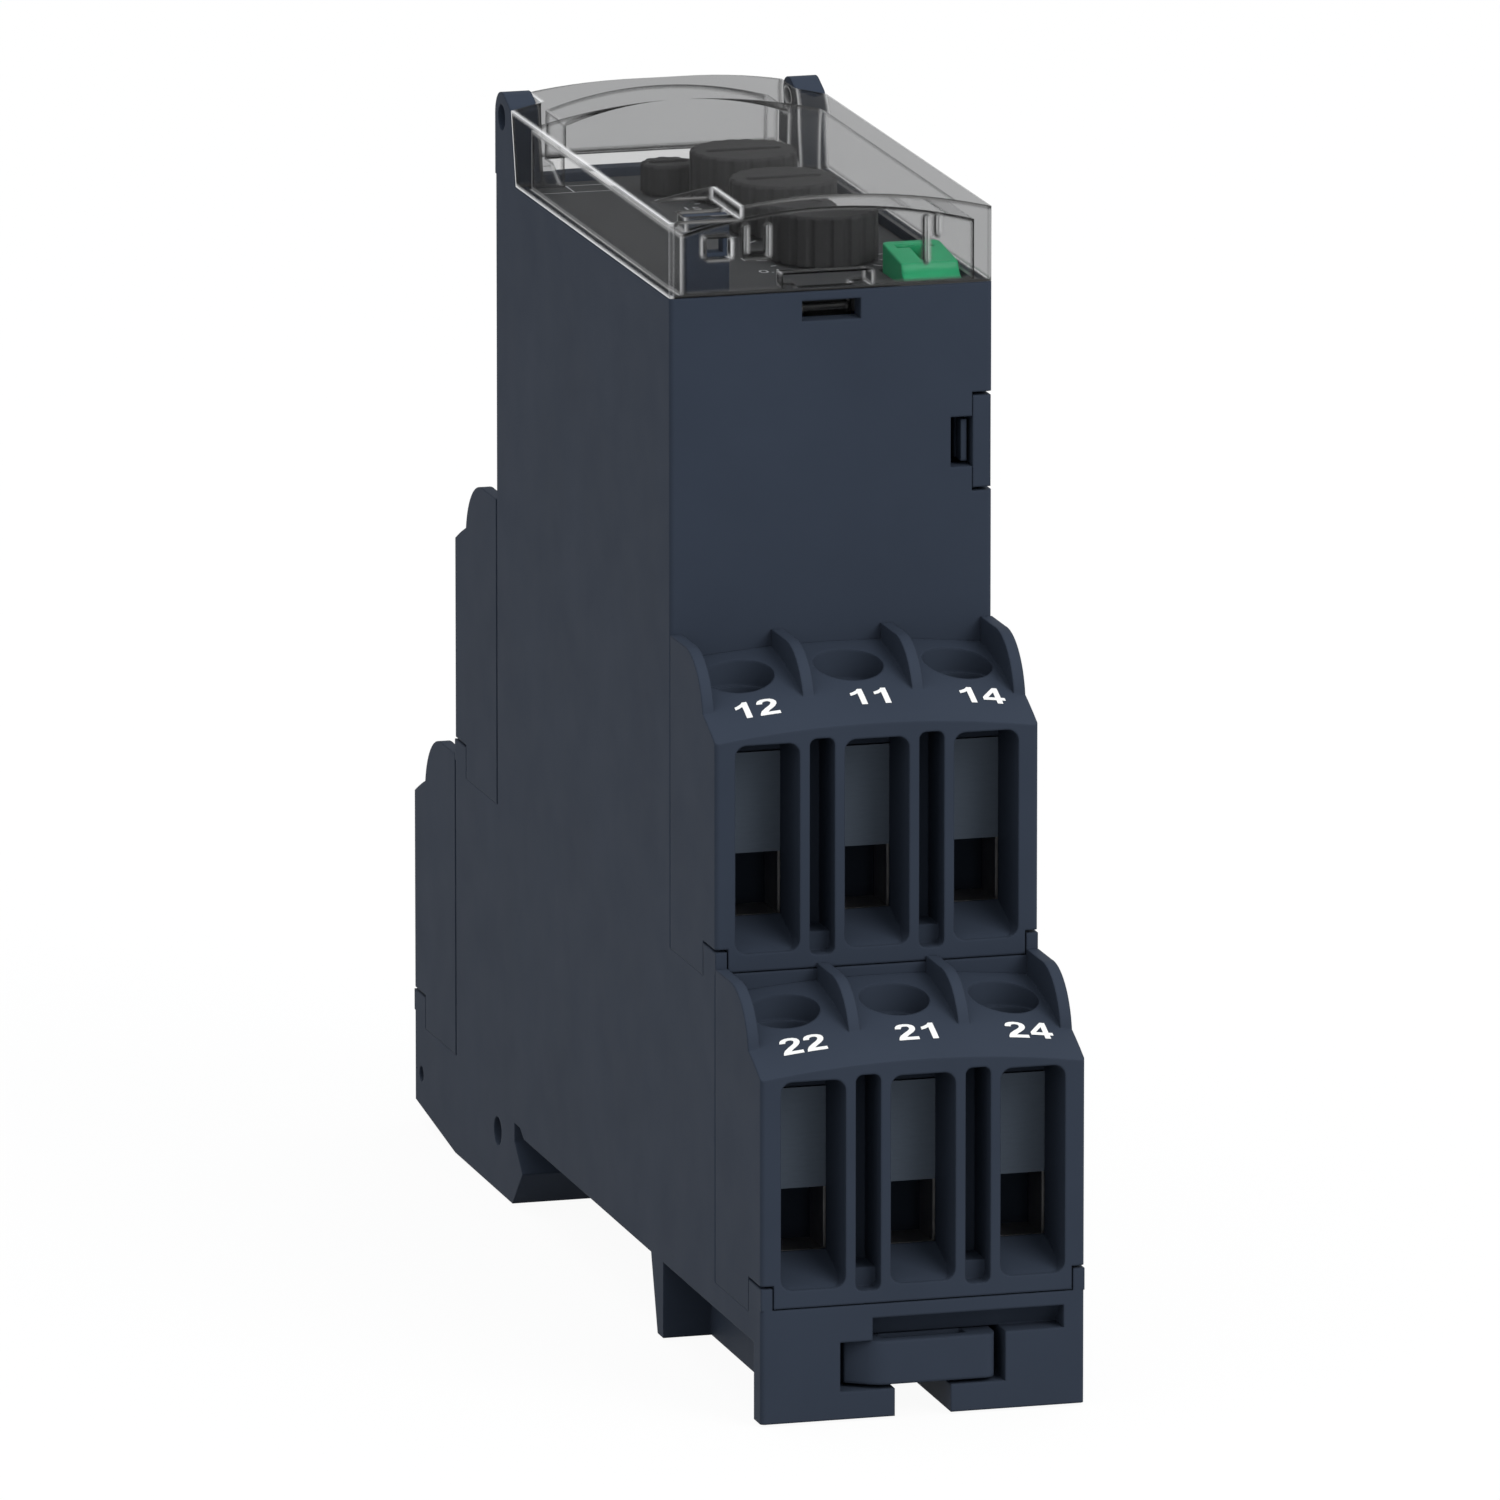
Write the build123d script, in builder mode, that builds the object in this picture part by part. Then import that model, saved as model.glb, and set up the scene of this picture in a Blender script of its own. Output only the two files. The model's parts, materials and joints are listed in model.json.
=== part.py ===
from build123d import *
import os

os.makedirs("parts", exist_ok=True)

# Voltage monitoring relay for a 35 mm rail, lying on its back: +Z towards the front panel.
# X runs across the narrow width, Y along the terminals, origin under the middle of the feet.

# Overall sizes
width = 22.5
length = 90.0
front_length = 45.0
rim_z = 72.2
seat_z = 5.3
tier_rise = 20.5
upper_seat_z = 27.6
edge_radius = 0.3

# Clearances
running_gap = 0.05
seam_gap = 0.1
slide_gap = 0.1
free_gap = 0.3

# Housing walls
side_wall = 1.4
end_wall = 1.5
floor_wall = 1.7
rim_wall = 1.0
face_ledge = 0.8
ledge_height = 1.2

# Rail slot and feet
rail_slot = 35.5
slot_shift = 0.25
near_foot = 2.0
rib_foot = 1.45
rib_root = 3.1
hook_reach = 2.1
hook_nose_z = 2.7
hook_flank_z = 4.6
groove_z = 5.9
groove_width = 1.4
hook_foot = 0.6
far_foot = 15.4
toe_rise = 1.4

# Clip channel under the near end
channel_width = 15.7
window_width = 11.5
window_floor = 1.9
gap_width = 3.9
tool_slot_low_x = -3.5
tool_slot_height = 1.55

# Clip
clip_tab_width = 10.26
clip_low_z = 2.2
clip_travel = 3.0
nose_reach = 2.1
nose_top_z = 4.15
tab_bevel_x = 2.05
tab_bevel_y = 1.3
tab_bevel_round = 2.5
tab_corner_round = 0.8
peg_y = 8.4
peg_thickness = 1.2
spring_slot_width = 3.2
spring_slot_end = 20.0
spring_radius = 1.1
spring_wire = 0.22
spring_turns = 7

# Terminal blocks, heights above each block's seat
roof_edge = 16.45
roof_back = 19.8
roof_radius = 30.0
crown = 0.75
fin_top = 21.6
fin_thickness = 0.8
fin_setback = 3.1
fin_round = 4.0
front_lift = 0.8
post_height = 2.3
post_width = 0.8
post_depth = 3.0
mouth_width = 4.5
mouth_low = 2.0
mouth_high = 16.3
mouth_radius = 0.8
ramp_rise = 1.5
slot_width = 1.75
slot_low = 1.65
slot_high = 16.5
slot_depth = 3.9
slot_radius = 0.5
slot_ledge = 1.3

# Terminal hardware
column_inset = 3.63
screw_inset = 4.15
plate_inset = 6.35
fin_flat_inset = 3.25
screw_hole = 4.75
screw_hole_step = 18.3
head_bore = 4.1
head_diameter = 3.8
head_height = 1.9
shank_diameter = 2.6
shelf_top = 14.8
shelf_thickness = 1.0
cage_outer = 5.7
cage_wall = 0.6
cage_depth = 3.2
cage_low = 2.75
cage_floor = 0.65
cage_bar = 1.4
bar_low = 7.8
bar_thickness = 0.8
bar_width = 4.0
plate_thickness = 0.5
plate_width = 5.2
tail_width = 1.2
tail_step = 1.5

# Front panel
panel_top_z = 71.6
panel_thickness = 1.5
knob_inset = 8.1
knob_near_inset = 13.0
knob_far_inset = 12.0
knob_names = ("delay", "hysteresis", "value")
knob_diameter = 7.4
knob_height = 3.4
knob_lift = 0.2
knob_flutes = 18
selector_shift = 4.25
selector_from_hinge = 6.25
selector_diameter = 3.8
selector_height = 2.0
shaft_diameter = 3.0
pot_shaft_diameter = 2.4
pot_size = 4.8
selector_switch_size = 3.4
pot_height = 4.8
button_inset_x = 3.3
button_inset_y = 5.5
button_width = 4.0
button_length = 6.4
button_rise = 1.9
button_slope = 0.55
button_hollow = 1.6
button_lip = 0.25
button_mark_z = 0.5
button_travel = 0.5
guide_inset = 2.9
guide_insets_y = (10.5, 6.5)
leg_radius = 1.0
leg_inset = 1.45
guide_diameter = 1.8

# Front cover and its hinge
cover_side = 77.35
cover_crown = 1.4
cover_wall = 1.0
cover_roof = 1.0
hinge_inset = 1.75
hinge_z = 76.43
ear_radius = 1.75
ear_thickness = 2.0
pin_diameter = 1.7
pin_length = 1.2
hinge_cheek = 1.2
far_wall_low_z = 73.2
latch_width = 4.1
latch_base_width = 6.2
latch_base_height = 1.0
latch_slot_z = 70.2
latch_slot_height = 1.4
tongue_thickness = 0.7
corner_pad_x = 4.9
corner_pad_y = 6.9
corner_pad_z = 77.5
frame_places = (-5.75, -4.2)
frame_low_z = 74.6
rib_places = ((6.9, 73.6), (7.7, 75.4))
rib_thickness = 0.25
rib_depth = 0.4
lug_width = 3.0
lug_thickness = 1.1
seal_hole_width = 1.5
seal_hole_height = 1.2
seal_hole_z = 75.5

# Side cover
tongue_low_z = 57.9
tongue_high_z = 64.7
tongue_slit = 0.25
tongue_setback = 0.1
snap_window_width = 1.5
snap_low_z = 59.6
snap_high_z = 63.05

# Boards and what they carry
board_inset = 6.25
board_thickness = 1.6
board_top_z = 61.0
front_board_z = 62.4
post_diameter = 4.4
post_tip = 3.0
post_inset_low = 7.25
post_inset_high = 4.0
post_low_z = 20.0
post_high_z = 52.0
board_low_z = 8.0
relay_size = (12.5, 12.7, 28.0)
relay_gap = 3.3
relay_low_z = 12.0
transformer_size = (11.0, 12.0, 13.5)
core_size = (5.0, 13.0, 7.0)
core_setback = 3.0
supply_gap = 3.0
capacitor_diameter = 9.0
capacitor_length = 15.0
chip_size = 7.0
chip_thickness = 1.0
chip_z = 30.0
header_length = 20.0
header_thickness = 2.5
header_height = 3.4

# Worked out from the sizes above
half_width = width / 2
half_length = length / 2
half_front = front_length / 2
tier_depth = (half_length - half_front) / 2
upper_face = half_length - tier_depth
lower_seat_z = upper_seat_z - tier_rise
cavity_floor = seat_z + floor_wall
cavity_side = half_width - side_wall
cavity_upper = half_front - end_wall
cavity_lower = upper_face - end_wall
cavity_shoulder = upper_seat_z - end_wall
panel_low_z = panel_top_z - panel_thickness
slot_near = slot_shift - rail_slot / 2
slot_far = slot_shift + rail_slot / 2
clip_top_z = seat_z - slide_gap
tool_slot_high_x = half_width - 1.45
tool_slot_depth = near_foot - seam_gap
pitch = half_width - column_inset
screw_setback = tier_depth - screw_inset
mouth_depth = tier_depth - plate_inset
fin_flat = tier_depth - fin_flat_inset
hinge_y = half_front - hinge_inset
knob_x = half_width - knob_inset
knob_near_y = -half_front + knob_near_inset
knob_far_y = half_front - knob_far_inset
knob_y = (knob_near_y, (knob_near_y + knob_far_y) / 2, knob_far_y)
selector_x = knob_x - selector_shift
selector_y = hinge_y - selector_from_hinge
button_x = half_width - button_inset_x
button_y = -half_front + button_inset_y
guide_x = half_width - guide_inset
guide_y = tuple(half_front - inset for inset in guide_insets_y)
board_x = half_width - board_inset
post_low_y = cavity_lower - post_inset_low
post_high_y = cavity_upper - post_inset_high
post_places = (
    (-post_low_y, post_low_z),
    (post_low_y, post_low_z),
    (-post_high_y, post_high_z),
    (post_high_y, post_high_z),
)
supply_reach = post_high_y - post_diameter / 2 - free_gap
supply_z = relay_low_z + relay_size[2] + supply_gap
relay_y = (-(relay_size[1] + relay_gap) / 2, (relay_size[1] + relay_gap) / 2)
pocket_width = cage_outer + 2 * slide_gap
pocket_low = cage_low - slide_gap
pocket_high = shelf_top - shelf_thickness
cage_travel = 3.5
terminal_columns = (-pitch, 0.0, pitch)


# Housing
def housing_outline():
    """Half-open side outline of the housing, as (y, z) points from the near foot round to it."""
    near_rib = slot_near - rib_root
    return [
        (-half_length, 0),
        (-half_length + near_foot, 0),
        (-half_length + near_foot, seat_z),
        (near_rib, seat_z),
        (near_rib, 0),
        (near_rib + rib_foot, 0),
        (slot_near, seat_z),
        (slot_far - 2 * groove_width + 0.3, seat_z),
        (slot_far - groove_width, groove_z),
        (slot_far, groove_z),
        (slot_far, hook_flank_z),
        (slot_far - hook_reach, hook_nose_z),
        (slot_far + hook_foot, 0),
        (slot_far + hook_foot + far_foot, 0),
        (half_length, toe_rise),
        (half_length, lower_seat_z + front_lift - seam_gap),
        (half_length - post_depth, lower_seat_z + front_lift - seam_gap),
        (half_length - post_depth, lower_seat_z),
        (upper_face, lower_seat_z),
        (upper_face, upper_seat_z + front_lift - seam_gap),
        (upper_face - post_depth, upper_seat_z + front_lift - seam_gap),
        (upper_face - post_depth, upper_seat_z),
        (half_front, upper_seat_z),
        (half_front, rim_z),
        (-half_front, rim_z),
        (-half_front, upper_seat_z),
        (-upper_face + post_depth, upper_seat_z),
        (-upper_face + post_depth, upper_seat_z + front_lift - seam_gap),
        (-upper_face, upper_seat_z + front_lift - seam_gap),
        (-upper_face, lower_seat_z),
        (-half_length + post_depth, lower_seat_z),
        (-half_length + post_depth, lower_seat_z + front_lift - seam_gap),
        (-half_length, lower_seat_z + front_lift - seam_gap),
    ]


def cavity_outline(inset, top):
    """Side outline of the inner space, drawn in by inset, as (y, z) points."""
    return [
        (-cavity_lower + inset, cavity_floor + inset),
        (cavity_lower - inset, cavity_floor + inset),
        (cavity_lower - inset, cavity_shoulder - inset),
        (cavity_upper - inset, cavity_shoulder - inset),
        (cavity_upper - inset, top),
        (-cavity_upper + inset, top),
        (-cavity_upper + inset, cavity_shoulder - inset),
        (-cavity_lower + inset, cavity_shoulder - inset),
    ]


with BuildPart() as housing:
    with BuildSketch(Plane.YZ):
        with BuildLine():
            Polyline(*housing_outline(), close=True)
        make_face()
    extrude(amount=half_width, both=True)
    upright = housing.edges().filter_by(Axis.Z).filter_by(
        lambda e: abs(abs(e.center().X) - half_width) < 0.01
        and (abs(e.center().Y) > upper_face - 0.01 or abs(abs(e.center().Y) - half_front) < 0.01)
        and e.length > 2
    )
    fillet(upright, edge_radius)
    # Posts that stand beside each terminal block's face
    for seat, face in ((lower_seat_z, half_length), (upper_seat_z, upper_face)):
        for end in (-1, 1):
            for side in (-1, 1):
                low = seat + front_lift - seam_gap
                with Locations(
                    (
                        side * (half_width - post_width / 2),
                        end * (face - post_depth / 2),
                        low,
                    )
                ):
                    Box(
                        post_width,
                        post_depth,
                        post_height - front_lift,
                        align=(Align.CENTER, Align.CENTER, Align.MIN),
                    )
    # Clip channel between the near foot and the rib
    with Locations((0, (-half_length + near_foot + slot_near - rib_root) / 2, 0)):
        Box(
            channel_width,
            slot_near - rib_root + half_length - near_foot,
            seat_z,
            align=(Align.CENTER, Align.CENTER, Align.MIN),
        )
    # Inner space, open on the right for the side cover and on top for the panel
    with BuildSketch(Plane.YZ.offset(-cavity_side)):
        with BuildLine():
            Polyline(*cavity_outline(0, rim_z), close=True)
        make_face()
    extrude(amount=cavity_side + half_width, mode=Mode.SUBTRACT)
    with Locations((0, 0, panel_low_z)):
        Box(
            2 * (half_width - rim_wall),
            2 * cavity_upper,
            rim_z - panel_low_z,
            align=(Align.CENTER, Align.CENTER, Align.MIN),
            mode=Mode.SUBTRACT,
        )
    # Window, tool slot and lower gap of the clip channel
    with Locations((0, -half_length, window_floor)):
        Box(
            window_width,
            half_length + slot_near,
            seat_z - window_floor,
            align=(Align.CENTER, Align.MIN, Align.MIN),
            mode=Mode.SUBTRACT,
        )
    with Locations((0, -half_length, 0)):
        Box(
            gap_width,
            half_length + slot_near - rib_root,
            window_floor,
            align=(Align.CENTER, Align.MIN, Align.MIN),
            mode=Mode.SUBTRACT,
        )
    with BuildSketch(Plane.YZ.offset(tool_slot_low_x)):
        with BuildLine():
            Polyline(
                (-half_length, seat_z),
                (-half_length, seat_z + tool_slot_height),
                (-half_length + tool_slot_depth / 2, seat_z + tool_slot_height),
                (-half_length + tool_slot_depth, seat_z),
                close=True,
            )
        make_face()
    extrude(amount=tool_slot_high_x - tool_slot_low_x, mode=Mode.SUBTRACT)
    # Peg that the clip's spring pushes against
    with Locations((0, -half_length + peg_y, clip_low_z + slide_gap)):
        Box(
            spring_slot_width - 2 * free_gap,
            peg_thickness,
            seat_z - clip_low_z - slide_gap,
            align=(Align.CENTER, Align.CENTER, Align.MIN),
        )
    # Ledges under the panel, clear of the cover's latch
    for end in (-1, 1):
        for side in (-1, 1):
            ledge_from = latch_width / 2 + free_gap
            with Locations(
                (
                    side * (ledge_from + cavity_side) / 2,
                    end * (cavity_upper - face_ledge / 2),
                    panel_low_z - ledge_height,
                )
            ):
                Box(
                    cavity_side - ledge_from - (seam_gap if side > 0 else 0),
                    face_ledge,
                    ledge_height,
                    align=(Align.CENTER, Align.CENTER, Align.MIN),
                )
    # Stepped posts that carry the main board and the side cover
    for post_y, post_z in post_places:
        with Locations(Plane.YZ.offset(-cavity_side)):
            with Locations((post_y, post_z)):
                Cylinder(
                    post_diameter / 2,
                    cavity_side + board_x,
                    align=(Align.CENTER, Align.CENTER, Align.MIN),
                )
                Cylinder(
                    post_tip / 2,
                    2 * cavity_side,
                    align=(Align.CENTER, Align.CENTER, Align.MIN),
                )
    # Slots for the contact tails
    for seat, face in ((lower_seat_z, upper_face), (upper_seat_z, half_front)):
        for end in (-1, 1):
            for column in terminal_columns:
                with Locations((column, end * (face - end_wall / 2), seat + bar_low + bar_thickness / 2)):
                    Box(
                        tail_width + 2 * seam_gap,
                        end_wall,
                        bar_thickness + 2 * seam_gap,
                        mode=Mode.SUBTRACT,
                    )
    # Snap notches and windows for the side cover
    for end in (-1, 1):
        wall_y = end * (half_front - end_wall / 2)
        with Locations((half_width - side_wall / 2, wall_y, (tongue_low_z + tongue_high_z) / 2)):
            Box(side_wall, end_wall, tongue_high_z - tongue_low_z, mode=Mode.SUBTRACT)
        with Locations((cavity_side - snap_window_width / 2, wall_y, (snap_low_z + snap_high_z) / 2)):
            Box(snap_window_width, end_wall, snap_high_z - snap_low_z, mode=Mode.SUBTRACT)
    # Latch slot in the near wall
    with Locations((0, -half_front + end_wall / 2, latch_slot_z + latch_slot_height / 2)):
        Box(latch_width, end_wall, latch_slot_height, mode=Mode.SUBTRACT)
    # Ears that hold the front cover's pins
    ear_foot = hinge_y - 3.5
    for ear_x in (-half_width, half_width - ear_thickness):
        with BuildSketch(Plane.YZ.offset(ear_x)):
            with BuildLine():
                Polyline(
                    (half_front, hinge_z),
                    (half_front, rim_z),
                    (ear_foot, rim_z),
                    (ear_foot + 1.2, cover_side),
                    (hinge_y - 0.65, hinge_z + 1.62),
                )
                ThreePointArc(
                    (hinge_y - 0.65, hinge_z + 1.62),
                    (hinge_y + 1.24, hinge_z + 1.235),
                    (half_front, hinge_z),
                )
            make_face()
            fillet(vertices().filter_by(lambda v: abs(v.Y - cover_side) < 0.01), 1.0)
            with Locations((hinge_y, hinge_z)):
                Circle(pin_diameter / 2 + running_gap, mode=Mode.SUBTRACT)
        extrude(amount=ear_thickness)
    # Lug for a seal wire, in the near left corner
    lug_x = -half_width + cover_wall + 2 * free_gap
    lug_y = -cavity_upper + 0.2
    with Locations((lug_x, -cavity_upper, panel_low_z - ledge_height)):
        Box(
            lug_width,
            lug_thickness + 0.2,
            rim_z - panel_low_z + ledge_height,
            align=(Align.MIN, Align.MIN, Align.MIN),
        )
    with Locations((lug_x, lug_y, rim_z)):
        Box(
            lug_width,
            lug_thickness,
            corner_pad_z - seam_gap - rim_z,
            align=(Align.MIN, Align.MIN, Align.MIN),
        )
    with Locations((lug_x + lug_width / 2 + 0.3, lug_y + lug_thickness / 2, seal_hole_z)):
        Box(seal_hole_width, lug_thickness, seal_hole_height, mode=Mode.SUBTRACT)
    # Two blind holes low on the left side
    for hole_y, hole_z, hole_d in ((slot_far + 4.45, 4.3, 2.0), (half_length - 1.9, 3.55, 1.1)):
        with Locations(Plane(origin=(-half_width, hole_y, hole_z), z_dir=(-1, 0, 0))):
            Cylinder(
                hole_d / 2,
                1.2,
                align=(Align.CENTER, Align.CENTER, Align.MAX),
                mode=Mode.SUBTRACT,
            )
housing.part.label = "housing"
export_step(housing.part, "parts/housing.step")


# Side cover that closes the right side
with BuildPart() as side_cover:
    with BuildSketch(Plane.YZ.offset(cavity_side)):
        with BuildLine():
            Polyline(*cavity_outline(seam_gap, rim_z), close=True)
        make_face()
    extrude(amount=side_wall)
    with Locations((cavity_side, 0, panel_low_z)):
        Box(
            side_wall - rim_wall,
            2 * cavity_upper,
            rim_z - panel_low_z,
            align=(Align.MIN, Align.CENTER, Align.MIN),
            mode=Mode.SUBTRACT,
        )
    for end in (-1, 1):
        tongue_height = tongue_high_z - tongue_low_z - 2 * tongue_slit
        tongue_width = side_wall - running_gap - tongue_setback
        tongue_x = half_width - tongue_setback - tongue_width / 2
        tongue_z = (tongue_low_z + tongue_high_z) / 2
        with Locations((tongue_x, end * (half_front - (end_wall - seam_gap) / 2), tongue_z)):
            Box(tongue_width, end_wall - seam_gap, tongue_height)
        with Locations((tongue_x, end * (cavity_upper - 0.25), tongue_z)):
            Box(tongue_width, 0.9, tongue_height)
        # Hook seen through the snap window
        hook_z = (snap_low_z + snap_high_z) / 2
        hook_height = snap_high_z - snap_low_z - 2 * free_gap
        with Locations((cavity_side - 0.3, end * (cavity_upper - 0.6), hook_z)):
            Box(0.9, 0.8, hook_height)
        with Locations((cavity_side - 0.45, end * (cavity_upper + 0.3), hook_z)):
            Box(0.4, 1.4, hook_height)
side_cover.part.label = "side_cover"
export_step(side_cover.part, "parts/side_cover.step")


# Terminal blocks, made once at the origin and set in four places
def roof_centre():
    """Centre of the roof's side arc, as (y, z) behind and below the block's face."""
    chord_y = tier_depth / 2
    chord_z = (roof_edge + roof_back) / 2
    rise = roof_back - roof_edge
    chord = (tier_depth**2 + rise**2) ** 0.5
    drop = (roof_radius**2 - (chord / 2) ** 2) ** 0.5
    return (chord_y + drop * rise / chord, chord_z - drop * tier_depth / chord)


with BuildPart() as block:
    back = tier_depth - running_gap
    with BuildSketch(Plane.YZ):
        with BuildLine():
            Polyline(
                (0, front_lift),
                (post_depth, front_lift),
                (post_depth, 0),
                (back, 0),
                (back, fin_top),
                (0, fin_top),
                close=True,
            )
        make_face()
    extrude(amount=half_width, both=True)
    # Crowned and curved roof
    centre_y, centre_z = roof_centre()
    with BuildSketch(Plane(origin=(0, centre_y, centre_z), x_dir=(1, 0, 0), z_dir=(0, -1, 0))):
        with BuildLine():
            Polyline(
                (-half_width, roof_radius),
                (-half_width, 0),
                (half_width, 0),
                (half_width, roof_radius),
            )
            ThreePointArc(
                (half_width, roof_radius),
                (0, roof_radius + crown),
                (-half_width, roof_radius),
            )
        make_face()
    revolve(axis=Axis((0, centre_y, centre_z), (1, 0, 0)), mode=Mode.INTERSECT)
    front_edges = block.edges().filter_by(
        lambda e: abs(e.center().Y) < 0.01 and (e.length > 20 or abs(e.center().X) > half_width - 0.01)
    )
    fillet(front_edges.filter_by(Axis.Z), edge_radius)
    # Notches for the housing's posts
    for side in (-1, 1):
        with Locations((side * half_width, 0, 0)):
            Box(
                2 * (post_width + seam_gap),
                2 * (post_depth + seam_gap),
                2 * (post_height + seam_gap),
                mode=Mode.SUBTRACT,
            )
    # Fins between the screws
    for fin_x in (
        -half_width + fin_thickness / 2,
        -pitch / 2,
        pitch / 2,
        half_width - fin_thickness / 2,
    ):
        with BuildSketch(Plane.YZ.offset(fin_x)):
            with BuildLine():
                Polyline(
                    (fin_flat, fin_top),
                    (back, fin_top),
                    (back, roof_edge),
                    (fin_setback + 1.0, roof_edge),
                    (fin_setback, fin_top - fin_round),
                )
                ThreePointArc(
                    (fin_setback, fin_top - fin_round),
                    (fin_flat - 0.7 * (fin_flat - fin_setback), fin_top - 0.29 * fin_round),
                    (fin_flat, fin_top),
                )
            make_face()
        extrude(amount=fin_thickness / 2, both=True)
    # Wire mouths with a ramp up to the clamp
    for column in terminal_columns:
        with BuildSketch(Plane.XZ):
            with Locations((column, (mouth_low + mouth_high) / 2)):
                RectangleRounded(mouth_width, mouth_high - mouth_low, mouth_radius)
        extrude(amount=-mouth_depth, mode=Mode.SUBTRACT)
        with BuildSketch(Plane.YZ.offset(column)):
            with BuildLine():
                Polyline(
                    (0.3, mouth_low - 0.2),
                    (mouth_depth, mouth_low - 0.2),
                    (mouth_depth, mouth_low + ramp_rise),
                    (0.3, mouth_low),
                    close=True,
                )
            make_face()
        extrude(amount=mouth_width / 2, both=True)
        # Pocket for the cage, open at the back
        with Locations((column, mouth_depth, pocket_low)):
            Box(
                pocket_width,
                back - mouth_depth,
                pocket_high - pocket_low,
                align=(Align.CENTER, Align.MIN, Align.MIN),
                mode=Mode.SUBTRACT,
            )
        with Locations((column, mouth_depth, pocket_high)):
            Box(
                plate_width + seam_gap,
                plate_thickness + running_gap,
                shelf_thickness,
                align=(Align.CENTER, Align.MIN, Align.MIN),
                mode=Mode.SUBTRACT,
            )
        # Stepped hole for the screw
        with Locations((column, screw_setback, 0)):
            with Locations((0, 0, pocket_high)):
                Cylinder(
                    shank_diameter / 2 + running_gap,
                    shelf_thickness,
                    align=(Align.CENTER, Align.CENTER, Align.MIN),
                    mode=Mode.SUBTRACT,
                )
            with Locations((0, 0, shelf_top)):
                Cylinder(
                    head_bore / 2,
                    fin_top - shelf_top,
                    align=(Align.CENTER, Align.CENTER, Align.MIN),
                    mode=Mode.SUBTRACT,
                )
            with Locations((0, 0, screw_hole_step)):
                Cylinder(
                    screw_hole / 2,
                    fin_top - screw_hole_step,
                    align=(Align.CENTER, Align.CENTER, Align.MIN),
                    mode=Mode.SUBTRACT,
                )
    # Divider slots with a small ledge at the bottom
    for slot_x in (-pitch / 2, pitch / 2):
        with BuildSketch(Plane.XZ):
            with Locations((slot_x, (slot_low + slot_high) / 2)):
                RectangleRounded(slot_width, slot_high - slot_low, slot_radius)
        extrude(amount=-slot_depth, mode=Mode.SUBTRACT)
        with Locations((slot_x, slot_depth, slot_low)):
            Box(
                slot_width,
                slot_depth - slot_ledge,
                slot_ledge,
                align=(Align.CENTER, Align.MAX, Align.MIN),
            )


# One terminal screw, with its head on the block's shelf and its tip on the contact bar
with BuildPart() as screw:
    with BuildSketch(Plane.XY.offset(shelf_top)):
        Circle(head_diameter / 2)
    extrude(amount=head_height)
    fillet(screw.edges().group_by(Axis.Z)[-1], 0.3)
    with BuildSketch(Plane.XY.offset(shelf_top)):
        Circle(shank_diameter / 2)
    extrude(amount=-(shelf_top - bar_low - bar_thickness - running_gap))
    chamfer(screw.edges().group_by(Axis.Z)[0], 0.3)
    for turn in (0, 90):
        with BuildSketch(Plane.XY.offset(shelf_top + head_height)):
            Rectangle(head_diameter if turn == 0 else 0.6, 0.7 if turn == 0 else 2.6)
        extrude(amount=-0.9, mode=Mode.SUBTRACT)


# One rising cage, a ring that the wire passes through
with BuildPart() as cage:
    cage_top = bar_low + bar_thickness + slide_gap + cage_bar
    with BuildSketch(Plane.XZ.offset(cage_depth / 2)):
        with Locations((0, (cage_low + cage_top) / 2)):
            RectangleRounded(cage_outer, cage_top - cage_low, 0.4)
        with Locations((0, (cage_low + cage_floor + cage_top - cage_bar) / 2)):
            Rectangle(
                cage_outer - 2 * cage_wall,
                cage_top - cage_bar - cage_low - cage_floor,
                mode=Mode.SUBTRACT,
            )
    extrude(amount=-cage_depth)
    with BuildSketch(Plane.XY.offset(cage_top)):
        Circle(shank_diameter / 2 + running_gap)
    extrude(amount=-cage_bar, mode=Mode.SUBTRACT)


def contact_strip(column, board_side):
    """Contact bar with its front plate and a tail that runs to the main board."""
    tail_from = tier_depth - 0.25
    near_board = board_side * board_x
    far_board = board_side * (board_x + board_thickness)
    beyond = board_side * column > board_x
    target = far_board if beyond else near_board
    deep = board_side * column < -pitch / 2
    run_y = tier_depth + end_wall + 0.75 + (tail_step if deep else 0)
    with BuildPart() as strip:
        with Locations((column, mouth_depth, bar_low)):
            Box(
                plate_width,
                plate_thickness,
                shelf_top - seam_gap - bar_low,
                align=(Align.CENTER, Align.MIN, Align.MIN),
            )
            Box(
                bar_width,
                tail_from - mouth_depth,
                bar_thickness,
                align=(Align.CENTER, Align.MIN, Align.MIN),
            )
        with Locations((column, tail_from, bar_low)):
            Box(
                tail_width,
                run_y + tail_width / 2 - tail_from,
                bar_thickness,
                align=(Align.CENTER, Align.MIN, Align.MIN),
            )
        with Locations(((column + target) / 2, run_y, bar_low)):
            Box(
                abs(target - column),
                tail_width,
                bar_thickness,
                align=(Align.CENTER, Align.CENTER, Align.MIN),
            )
    return strip.part


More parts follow.
